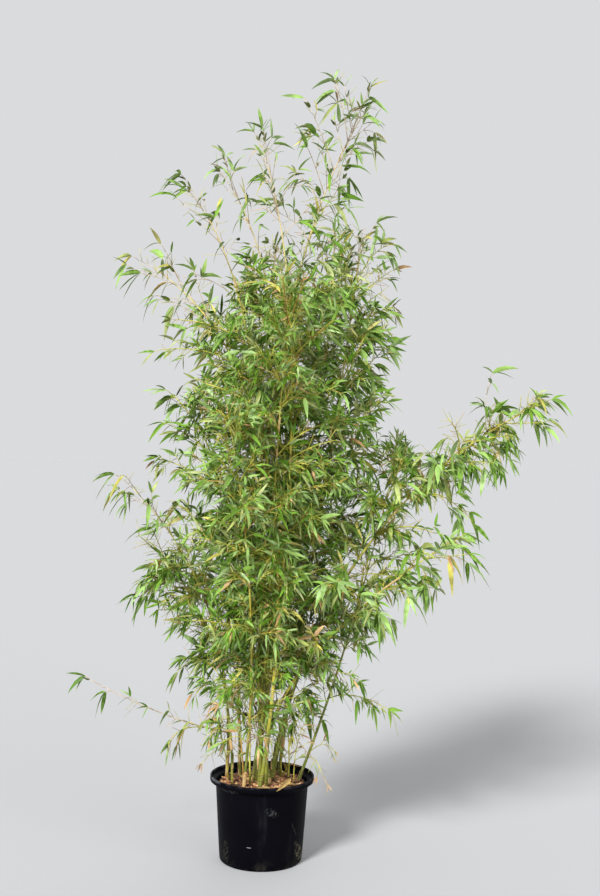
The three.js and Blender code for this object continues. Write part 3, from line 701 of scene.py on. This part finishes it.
def cane_finish():
    """Waxy cane: olive green at the foot, straw yellow higher up and on riper canes, tan in the
    crown, with a pale ring under each node, a brown scar on it, and fine streaks along it."""
    cane = Finish("cane_skin", Specular_IOR_Level=0.35)
    from_node, ripe = cane.value("from_node"), cane.value("ripe")
    streak = cane.noise(60.0, 3.0, cane.place((6, 6, 0.35)))
    blotch = cane.noise(14.0, 3.0)
    ripeness = cane.step(ripe + 0.9 * blotch + 0.35 * streak, 0.55, 1.25)
    green = cane.blend(streak, (0.06, 0.086, 0.008), (0.155, 0.18, 0.018))
    straw = cane.blend(streak, (0.38, 0.32, 0.035), (0.6, 0.52, 0.08))
    skin = cane.blend(ripeness, green, straw)
    height = cane.node("SeparateXYZ", inputs={0: cane.place()}, output="Z")
    skin = cane.blend(0.8 * cane.step(height, 1.75, 2.15), skin, (0.5, 0.4, 0.26))
    bloom = cane.step(from_node, -0.0105, -0.0015) * (1 - cane.step(from_node, -0.0012, -0.0002))
    skin = cane.blend(0.28 * bloom, skin, (0.36, 0.34, 0.18))
    scar = cane.step(from_node, -0.0016, -0.0004) * (1 - cane.step(from_node, 0.0003, 0.0014))
    skin = cane.blend(0.6 * scar, skin, (0.1, 0.06, 0.02))
    rough = 0.34 + 0.2 * streak + 0.15 * bloom
    relief = cane.bump(streak + 0.5 * scar, 0.0003, 0.4)
    return cane.feed(Base_Color=skin, Roughness=rough, Normal=relief)


def stick_finish(name, dark, pale):
    """Thin woody stalk, streaked between two colours."""
    stick = Finish(name, Roughness=0.55, Specular_IOR_Level=0.25)
    share = stick.step(stick.noise(35.0, 4.0), 0.35, 0.65)
    colour = stick.blend(share, dark, pale)
    return stick.feed(Base_Color=colour, Normal=stick.bump(share, 0.0002, 0.4))


def husk_finish():
    """Dry papery sheath: straw with darker lengthwise ribs and brown blotches."""
    husk = Finish("sheath_straw", Roughness=0.75)
    rib = husk.noise(90.0, 2.0, husk.place((8, 8, 0.4)))
    blotch = husk.step(husk.noise(45.0, 4.0), 0.5, 0.72)
    colour = husk.blend(rib, (0.36, 0.22, 0.075), (0.62, 0.45, 0.2))
    colour = husk.blend(0.7 * blotch, colour, (0.24, 0.11, 0.035))
    return husk.feed(Base_Color=colour, Normal=husk.bump(rib, 0.0006, 0.6))


def pot_finish():
    """Satin black plastic, faintly mottled: dust on the rim and under it, a painted highlight along
    the left of the rim, smears that run down the wall, dried mud low on one side, and a short
    scratch. Each mark is 1 inside an ellipse on the front, fading out at its edge."""
    pot = Finish("pot_plastic", Specular_IOR_Level=0.028)
    where = {0: pot.place()}
    x, y, height = (pot.node("SeparateXYZ", None, where, axis) for axis in "XYZ")
    front = pot.step(-1 * y, 0.0, 0.02)

    def mark(at_x, at_z, wide, high, slant=0.0):
        across = (x - at_x + slant * (height - at_z)) * (1 / wide)
        up = (height - at_z) * (1 / high)
        return front * (1 - pot.step(across * across + up * up, 0.3, 1.0))

    mottle = pot.noise(9.0, 5.0)
    grain = pot.noise(420.0, 2.0)
    ragged = pot.step(pot.noise(130.0, 6.0), 0.44, 0.62)
    smear = pot.noise(16.0, 5.0, pot.place((1.5, 1.5, 0.16)))
    rim = pot.step(height, POT_HEIGHT - 0.011, POT_HEIGHT - 0.001)
    rim = rim * pot.step(pot.noise(38.0, 5.0), 0.36, 0.7)
    streaks = pot.step(smear, 0.58, 0.74) * pot.step(mottle, 0.45, 0.7)
    mud = mark(0.126, 0.034, 0.013, 0.055, 0.25) + 0.2 * mark(-0.11, 0.045, 0.014, 0.045)
    dust = mark(0.036, 0.19, 0.022, 0.018, 0.6) + 3 * mark(-0.098, 0.248, 0.034, 0.006)
    dust = dust + mark(0.107, 0.127, 0.004, 0.026, 0.3)
    scratch = 0.7 * mark(-0.034, 0.0775, 0.009, 0.0014, 0.15)
    low = (1 - pot.step(height, 0.0, 0.05)) * pot.step(pot.noise(26.0, 6.0), 0.5, 0.72)
    colour = pot.blend(mottle, (0.0006, 0.0006, 0.0016), (0.0024, 0.0024, 0.0042))
    # Painted highlight: the rim is greyed more towards its left, the side the key light falls on,
    # on top of the real dust on the rim and the smears.
    painted_highlight_left = 1 - pot.step(x, -0.168, -0.09)
    colour = pot.blend(0.09 * rim + 0.35 * rim * painted_highlight_left + 0.03 * streaks, colour, (0.22, 0.23, 0.26))
    colour = pot.blend(0.55 * ragged * mud + 0.08 * low, colour, (0.17, 0.16, 0.11))
    colour = pot.blend(0.1 * ragged * dust, colour, (0.26, 0.27, 0.27))
    colour = pot.blend(0.5 * scratch, colour, (0.6, 0.6, 0.6))
    rough = 0.42 + 0.12 * mottle + 0.2 * rim + 0.25 * mud
    relief = pot.bump(grain + 2.0 * mottle, 0.0002, 0.5)
    return pot.feed(Base_Color=colour, Roughness=rough, Normal=relief)


def earth_finish():
    """Fine dark bark between the chips."""
    earth = Finish("soil_fines", Roughness=0.95)
    crumb = earth.noise(160.0, 6.0)
    colour = earth.blend(earth.step(crumb, 0.35, 0.7), (0.018, 0.008, 0.004), (0.14, 0.065, 0.027))
    return earth.feed(Base_Color=colour, Normal=earth.bump(crumb, 0.004))


def chip_finish(name, dark, pale):
    """Rough bark, fibrous between two browns."""
    chip = Finish(name, Roughness=0.88)
    fibre = chip.noise(190.0, 4.0, chip.place((1, 0.4, 1)))
    colour = chip.blend(chip.step(fibre, 0.3, 0.7), dark, pale)
    return chip.feed(Base_Color=colour, Normal=chip.bump(fibre, 0.0012, 0.8))


def arc(at, radius, start, end, count):
    """Points round a centre of (radius, height), from one angle to another in degrees."""
    angle = np.radians(np.linspace(start, end, count))
    return [(at[0] + radius * math.cos(a), at[1] + radius * math.sin(a)) for a in angle]


def turned(profile, segments):
    """A closed solid of revolution: (r cos a, r sin a, z) for each point of a profile whose two
    ends lie on the axis."""
    ends, rings = [profile[0], profile[-1]], np.array(profile[1:-1])
    angle = np.arange(segments) * 2 * np.pi / segments
    circle = np.stack([np.cos(angle), np.sin(angle)], 1)
    flat = rings[:, None, :1] * circle
    verts = np.concatenate([flat, np.broadcast_to(rings[:, None, 1:], flat.shape[:2] + (1,))], 2)
    verts = np.concatenate([verts.reshape(-1, 3), [(0, 0, ends[0][1]), (0, 0, ends[1][1])]])
    return verts, *tube_faces(1, len(rings), segments)


def make_camera_and_lights():
    """The camera, three suns and an even sky."""
    camera = add("camera", bpy.data.cameras.new("camera"))
    camera.location = CAMERA_AT
    camera.rotation_euler = (math.pi / 2, -CAMERA_ROLL, 0)
    camera.data.sensor_width = SENSOR
    camera.data.lens = FOCAL_PIXELS / PICTURE_HEIGHT * SENSOR
    bpy.context.scene.camera = camera
    bpy.context.scene.view_settings.view_transform = "Standard"
    for name, ((x, y, z), softness, strength) in SUNS.items():
        sun = add(name, bpy.data.lights.new(name, "SUN"))
        sun.data.angle = math.radians(softness)
        sun.data.energy = strength
        turn = math.atan2(y, x) + math.pi / 2
        sun.rotation_euler = (math.atan2(math.hypot(x, y), z), 0, turn)
    world = bpy.data.worlds.new("studio")
    world.use_nodes = True
    background = world.node_tree.nodes["Background"]
    background.inputs["Color"].default_value = SKY
    background.inputs["Strength"].default_value = SKY_STRENGTH
    bpy.context.scene.world = world


def make_floor():
    """A plain pale disc, wide enough to reach the horizon."""
    floor = Finish("floor_pale", Base_Color=FLOOR_COLOUR, Roughness=0.9, Specular_IOR_Level=0.0)
    profile = [(0, -0.02), (FLOOR_RADIUS, -0.02), (FLOOR_RADIUS, 0), (0, 0)]
    verts, quads, tris = turned(profile, 96)
    mesh = bpy.data.meshes.new("floor")
    mesh.from_pydata(verts.tolist(), [], quads.tolist() + tris.tolist())
    mesh.materials.append(floor.material)
    add("floor", mesh)


def make_pot():
    """The pot: a straight wall that widens upwards, a small shoulder, and a thin upright lip
    with a ledge inside it."""
    under = POT_HEIGHT - RIM_DEPTH
    slope = (POT_TOP_RADIUS - POT_BASE_RADIUS) / (under - SHOULDER)
    corner = (POT_BASE_RADIUS - POT_CORNER, POT_CORNER)
    profile = [(0, 0), (corner[0], 0), *arc(corner, POT_CORNER, -80, 0, 6)]
    profile += [(POT_BASE_RADIUS + slope * z, z) for z in np.linspace(0.03, under - SHOULDER, 9)]
    profile += [(POT_TOP_RADIUS + 0.0015, under - 0.007), (POT_TOP_RADIUS + 0.0035, under - 0.003)]
    profile += [(POT_TOP_RADIUS + 0.005, under)]
    profile += arc((RIM_RADIUS - RIM_CORNER, under + RIM_CORNER), RIM_CORNER, -90, 0, 6)
    profile += arc((RIM_RADIUS - LIP, POT_HEIGHT - LIP), LIP, 0, 180, 9)
    lip, ledge = RIM_RADIUS - 2 * LIP, POT_TOP_RADIUS
    profile += [(lip, under + 0.008), (lip - 0.0015, under + 0.0045)]
    profile += [(lip - 0.005, under + POT_WALL)]
    profile += [(ledge + 0.0015, under + 0.0025), (ledge - 0.002, under - 0.001)]
    inner = POT_BASE_RADIUS - POT_WALL
    profile += [(inner + slope * z, z) for z in np.linspace(under - 0.005, POT_FLOOR, 8)]
    pot = piece("pot_shell", *turned([*profile, (0, POT_FLOOR)], 128), [pot_finish()], "pot")
    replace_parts(pot, "pot")


def lie(x, y):
    """Height of the fill: level in the middle, lower at the wall, with soft uneven lumps."""
    low = smooth(np.hypot(x, y), 0.08, SOIL_RADIUS)
    lumps = np.sin(61 * x + 17 * y) * np.sin(47 * y - 13 * x) + 0.6 * np.sin(133 * x - 71 * y)
    return SOIL_Z - SOIL_DIP - SOIL_DIP * low + 0.0022 * lumps


# Bark chips: share of them, and the dark and pale brown of their fibres.
CHIPS = {
    "dark": (0.28, (0.016, 0.007, 0.004), (0.065, 0.028, 0.012)),
    "brown": (0.27, (0.095, 0.04, 0.015), (0.22, 0.095, 0.038)),
    "red": (0.23, (0.19, 0.068, 0.025), (0.38, 0.155, 0.06)),
    "tan": (0.14, (0.34, 0.175, 0.07), (0.58, 0.34, 0.155)),
    "pale": (0.08, (0.52, 0.34, 0.17), (0.78, 0.58, 0.34)),
}
CHIP_COUNT = 1150
CHIP_SIDES = 6
CHIP_LEVELS = np.array([[0.72, -1.0], [1.0, -0.35], [0.95, 0.4], [0.66, 1.0]])  # width, height


def make_soil():
    """The fill: a closed body whose top is lifted to the height rule, and the bark chips on
    it."""
    low = POT_FLOOR + 0.0003  # just clear of the pot's floor
    rings = [(share * SOIL_RADIUS, 0) for share in np.linspace(0.04, 1, 24)[::-1]]
    profile = [(0, low), (POT_BASE_RADIUS - 0.005, low), *rings, (0, 0)]
    verts, quads, tris = turned(profile, 96)
    top = verts[:, 2] == 0
    verts[top, 2] = lie(verts[top, 0], verts[top, 1])
    bed = piece("soil_bed", verts, quads, tris, [earth_finish()], "bark")
    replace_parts(bed, "soil")

    start = 0.0
    number = np.arange(CHIP_COUNT)
    draw = chance(number, 3, 7)
    for name, (share, dark, pale) in CHIPS.items():
        mine = number[(draw >= start) & (draw < start + share)]
        start += share
        finish = chip_finish(f"bark_{name}", dark, pale)
        piece(f"bark_chips_{name}", *chips(mine), [finish], "bark")


def rolled(one, two, angle):
    """Two coordinates turned by an angle: one cos a - two sin a, and one sin a + two cos a."""
    cos, sin = np.cos(angle)[:, None], np.sin(angle)[:, None]
    return one * cos - two * sin, one * sin + two * cos


def chips(number):
    """Bark chips as closed tablets. Each ring has six corners at r (cos a, sin a) with r drawn
    for each corner, stretched to a length and a breadth, tilted, and laid on the fill."""
    length = 0.006 + 0.016 * chance(number, 4, 2) ** 2
    r = (SOIL_RADIUS - 0.003 - 1.1 * length) * np.sqrt(chance(number, 1, 1))
    a = chance(number, 2, 1) * 2 * np.pi
    x, y = r * np.cos(a), r * np.sin(a)
    breadth = length * (0.35 + 0.4 * chance(number, 5, 2))
    thick = 0.0012 + 0.003 * chance(number, 6, 2)
    corner = np.arange(CHIP_SIDES)
    angle = corner * 2 * np.pi / CHIP_SIDES + 0.5 * (chance(number[:, None], 7, corner) - 0.5)
    uneven = 0.7 + 0.45 * chance(number[:, None], 8, corner)
    ring = np.stack([np.cos(angle) * uneven, np.sin(angle) * uneven, np.zeros(angle.shape)], -1)
    local = ring[:, None] * CHIP_LEVELS[:, 0][None, :, None, None]
    local[..., 2] = CHIP_LEVELS[:, 1][None, :, None]
    size = np.stack([length, breadth, thick], -1)[:, None, None]
    local = (local * size).reshape(len(number), -1, 3)
    ends = np.zeros((len(number), 2, 3))
    ends[:, 0, 2], ends[:, 1, 2] = -thick, thick
    px, py, pz = np.moveaxis(np.concatenate([local, ends], 1), -1, 0)
    pz, px = rolled(pz, px, (chance(number, 9, 4) - 0.5) * 1.3)
    py, pz = rolled(py, pz, (chance(number, 11, 4) - 0.5) * 0.9)
    px, py = rolled(px, py, chance(number, 10, 4) * 2 * np.pi)
    lift = lie(x, y) + 0.001 + 0.005 * chance(number, 12, 4)
    verts = np.stack([px + x[:, None], py + y[:, None], pz + lift[:, None]], -1).reshape(-1, 3)
    return verts, *tube_faces(len(number), len(CHIP_LEVELS), CHIP_SIDES)


# How much riper, and so yellower, some canes are.
RIPE_CANES = {
    "front_left": 0.8, "left_high": 0.6, "right_lean": 0.3, "tallest": 0.3, "second": 0.4,
    "left_low": 0.3,
}
# Rings round a node, as distances from it along the cane.
NODE_RINGS = np.array([-0.009, -0.0032, -0.0016, -0.0008, 0, 0.0008, 0.002, 0.0045])
# A node's ridge, scar and waist: share of the radius, distance from the node, breadth.
NODE_SHAPE = [(0.15, 0.0012, 0.0016), (0.1, -0.0006, 0.0006), (-0.04, -0.004, 0.003)]


def make_canes():
    """Each cane is a tube along its curve. Its radius falls evenly to a fifth at the tip, and
    swells at each node by the sum of rise exp(-((distance - place) / breadth)^2)."""
    skin = cane_finish()
    for k, name in enumerate(NAMES):
        curve, length, nodes = cane_curve(name), cane_length(name), node_shares(name)
        nodes = np.concatenate([[nodes[0] * 0.28, nodes[0] * 0.6], nodes[:-1]])
        between = (nodes[1:] + nodes[:-1]) / 2
        rings = (nodes[:, None] + NODE_RINGS / length).ravel()
        t = np.sort(np.concatenate([[0], rings, between, [1]]))
        t = t[(t >= 0) & (t <= 1)]
        offset = (t[:, None] - nodes) * length
        from_node = offset[np.arange(len(t)), np.abs(offset).argmin(1)]
        swell = sum((r * np.exp(-((from_node - at) / w) ** 2) for r, at, w in NODE_SHAPE), 1)
        points = bend(*curve, t)
        tube = tubes(points[None], (cane_radius(name, t) * swell)[None], CANE_SIDES)
        ripe = smooth(points[:, 2], 0.5, 1.5) * 0.25 + 0.12 * chance(k, 5, 5)
        ripe = ripe + smooth(points[:, 2], 0.35, 0.7) * RIPE_CANES.get(name, 0.0)
        values = {"from_node": from_node, "ripe": ripe}
        for key, v in values.items():
            values[key] = np.concatenate([np.repeat(v, CANE_SIDES), v[[0, -1]]])
        cane = piece(f"cane_{name}", *tube, [skin], "culm", values=values)
        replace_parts(cane, f"culm_{name}")


STRAW, ORANGE, PINK = range(3)
# Colours of the twigs, dark and pale.
STICKS = {
    "straw": ((0.25, 0.27, 0.03), (0.52, 0.49, 0.08)),
    "orange": ((0.36, 0.2, 0.045), (0.58, 0.37, 0.1)),
    "pink": ((0.3, 0.23, 0.15), (0.52, 0.43, 0.31)),
}


def make_sticks(name, curves, kind, finishes, thick, taper, rings, sides):
    """Thin tapering tubes along curves, as one piece. kind says which finish each one has."""
    t = np.linspace(0, 1, rings)
    a, b, c = (curves[key][:, None] for key in "abc")
    radii = np.broadcast_to(thick, len(kind))[:, None] * (1 - taper * t)
    verts, quads, tris = tubes(bend(a, b, c, t[None]), radii, sides)
    kinds = [np.repeat(kind, len(faces) // len(kind)) for faces in (quads, tris)]
    made = piece(name, verts, quads, tris, finishes, "culm", np.concatenate(kinds))
    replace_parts(made, *MASSES)


def make_twigs(branches, twigs, wisps):
    """Branches, twigs and bare twigs, each straw, orange or, in the thin crown, a greyish
    pink."""
    finishes = [stick_finish(f"twig_{name}", *colours) for name, colours in STICKS.items()]
    loose = branches["full"] < 0.42
    orange = chance(branches["node"], branches["culm"], 33) < 0.07
    kind = np.where(loose, PINK, np.where(orange, ORANGE, STRAW))
    thick = 0.0011 + (0.006 - 0.0034 * loose) * branches["size"]
    make_sticks("branches", branches, kind, finishes, thick, 0.5, 7, 5)
    orange = chance(twigs["seed"], 34, 1) < 0.09
    kind = np.where(twigs["loose"] > 0.8, PINK, np.where(orange, ORANGE, STRAW))
    make_sticks("twigs", twigs, kind, finishes, 0.0012, 0.35, 3, 4)
    low = 1 - smooth(wisps["a"][:, 2], 0.45, 0.75)
    kind = np.searchsorted([0.76, 0.92], wisps["draw"] + 0.35 * low)
    make_sticks("bare_twigs", wisps, kind, finishes, 0.0009, 0.3, 3, 3)


# Dry sheaths round the feet of some canes, with their heights.
FOOT_SHEATHS = {
    "left_low": 0.112, "front_left": 0.056, "right_lean": 0.03, "left_mid": 0.034,
    "right_back": 0.04, "back": 0.045,
}
SHEATH_GRID = (7, 9)


def make_sheaths():
    """Papery sheaths. Up a cane by share v and round it by h from -1 to 1, a point stands at
    the cane's line plus (r + flare v^2) (cos a side + sin a other), where a = turn + wrap h
    (1 - v)^0.6, so that a sheath wraps the cane at its foot and ends in a point."""
    up, across = SHEATH_GRID
    v, h = np.linspace(0, 1, up)[:, None], np.linspace(-1, 1, across)[None]
    fronts = []
    for k, name in enumerate(NAMES):
        curve, length = cane_curve(name), cane_length(name)
        starts = [
            (share, 0.022 + 0.03 * chance(k, j, 51), 0.003)
            for j, share in enumerate(node_shares(name)[:-2]) if chance(k, j, 50) < 0.34
        ]
        if name in FOOT_SHEATHS:
            starts.append((0.0, FOOT_SHEATHS[name], 0.0025))
        for start, tall, flare in starts:
            t = start + v * tall / length
            d = bend_way(*curve, t[:, 0])
            side = unit(np.cross(d, [0.3, 1.0, 0]))
            other = np.cross(d, side)
            r = cane_radius(name, t) * 1.08 + 0.0006 + flare * v ** 2
            wrap = (2.7 if start == 0 else 2.0) * (1 - 0.97 * v) ** 0.6
            a = (6.283 * chance(k, start * 100, 52) + wrap * h + 0.5 * v)[..., None]
            ring = np.cos(a) * side[:, None] + np.sin(a) * other[:, None]
            fronts.append(bend(*curve, t) + r[..., None] * ring)
    piece("sheaths", *shells(np.array(fronts), 0.0004), [husk_finish()], "culm")


# Dry leaves that lie on the fill and over the rim: root, tip, width as a share of the length.
FALLEN = [
    ((94, -128, 298), (48, -174, 272), 0.24),
    ((86, 50, 262), (66, 30, 312), 0.26),
    ((-60, -20, 262), (-4, -60, 268), 0.22),
    ((30, -115, 262), (-30, -128, 264), 0.2),
    ((-105, -60, 261), (-70, -105, 265), 0.24),
    ((60, -60, 262), (112, -40, 268), 0.18),
    ((-30, 85, 262), (30, 105, 266), 0.22),
]


def make_fallen():
    """Dry curled leaves on the fill, shaped by the blades' rule with a deep fold."""
    roots, tips = (np.array([row[i] for row in FALLEN]) / MM for i in (0, 1))
    size = np.linalg.norm(tips - roots, axis=1)
    number = np.arange(len(FALLEN)) + 0.5
    leaves = dict(root=roots, way=unit(tips - roots), size=size, seed=number)
    leaves.update(loose=number * 0, weep=number * 0)
    finishes = leaf_finishes("fallen", (0.36, 0.24, 0.085), (0.27, 0.18, 0.07), gloss=0.1)
    leaf_piece("fallen_leaves", leaves, finishes, np.array([row[2] for row in FALLEN]), 0.55)


# Leaf colours: share of the sprays, colour above and colour below.
TONES = {
    "deep": (0.28, (0.062, 0.142, 0.006), (0.131, 0.225, 0.034)),
    "mid": (0.33, (0.129, 0.251, 0.026), (0.202, 0.315, 0.076)),
    "bright": (0.22, (0.208, 0.335, 0.086), (0.258, 0.37, 0.146)),
    "olive": (0.12, (0.262, 0.31, 0.082), (0.3, 0.345, 0.136)),
    "yellowed": (0.03, (0.37, 0.34, 0.07), (0.41, 0.38, 0.13)),
    "dry": (0.02, (0.34, 0.205, 0.085), (0.42, 0.28, 0.13)),
}
LARGE_LEAF = 0.066  # longer leaves than this aren't dry
OWN_TONE = 0.33  # share of the leaves that don't take their spray's tone
PIECE_LEAVES = 6000  # leaves in one piece, so that it stays under 200,000 triangles


def deal_tones(leaves):
    """A tone for each spray of leaves. Dry and yellow ones are commoner near the pot, light ones
    in the crown and on leaning canes, and one leaf in three takes a tone of its own. About
    half of a dead branch's leaves are dry."""
    own = chance(leaves["seed"], 21, 6) < OWN_TONE
    draw = np.where(own, chance(leaves["seed"], 22, 6), chance(leaves["spray"], 23, 6))
    low = 1 - smooth(leaves["root"][:, 2], 0.36, 0.76)
    high = smooth(leaves["root"][:, 2], 1.85, 2.25)
    draw = draw ** (1 - 0.34 * high - 0.28 * leaves["weep"]) * (1 + 0.17 * low)
    draw = np.where(leaves["size"] > LARGE_LEAF, np.minimum(draw, 0.97), draw)
    draw = np.where(leaves["dead"] > 0, 0.8 + 0.35 * draw, draw)
    edges = np.cumsum([share for share, _, _ in TONES.values()])[:-1]
    return np.searchsorted(edges, draw)


def make_leaves(leaves):
    """The leaves in pieces of one tone each."""
    tone = deal_tones(leaves)
    for number, (name, (_, above, below)) in enumerate(TONES.items()):
        finishes = leaf_finishes(name, above, below)
        mine = np.flatnonzero(tone == number)
        parts = math.ceil(len(mine) / PIECE_LEAVES)
        for part, some in enumerate(np.array_split(mine, parts)):
            label = f"leaves_{name}_{part + 1}" if parts > 1 else f"leaves_{name}"
            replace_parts(leaf_piece(label, pick(leaves, some), finishes), *MASSES)


def make_buds(buds):
    """The young leaves, folded almost shut."""
    finishes = leaf_finishes("bud", (0.055, 0.085, 0.01), (0.1, 0.13, 0.03))
    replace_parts(leaf_piece("young_leaves", buds, finishes, 0.34, 0.8), *MASSES)


make_camera_and_lights()
make_floor()
make_pot()
make_soil()
make_canes()
branches = grow_branches()
twigs = grow_twigs(branches)
make_twigs(branches, twigs, grow_wisps(branches))
make_leaves(grow_leaves(twigs))
make_buds(grow_buds(branches))
make_sheaths()
make_fallen()
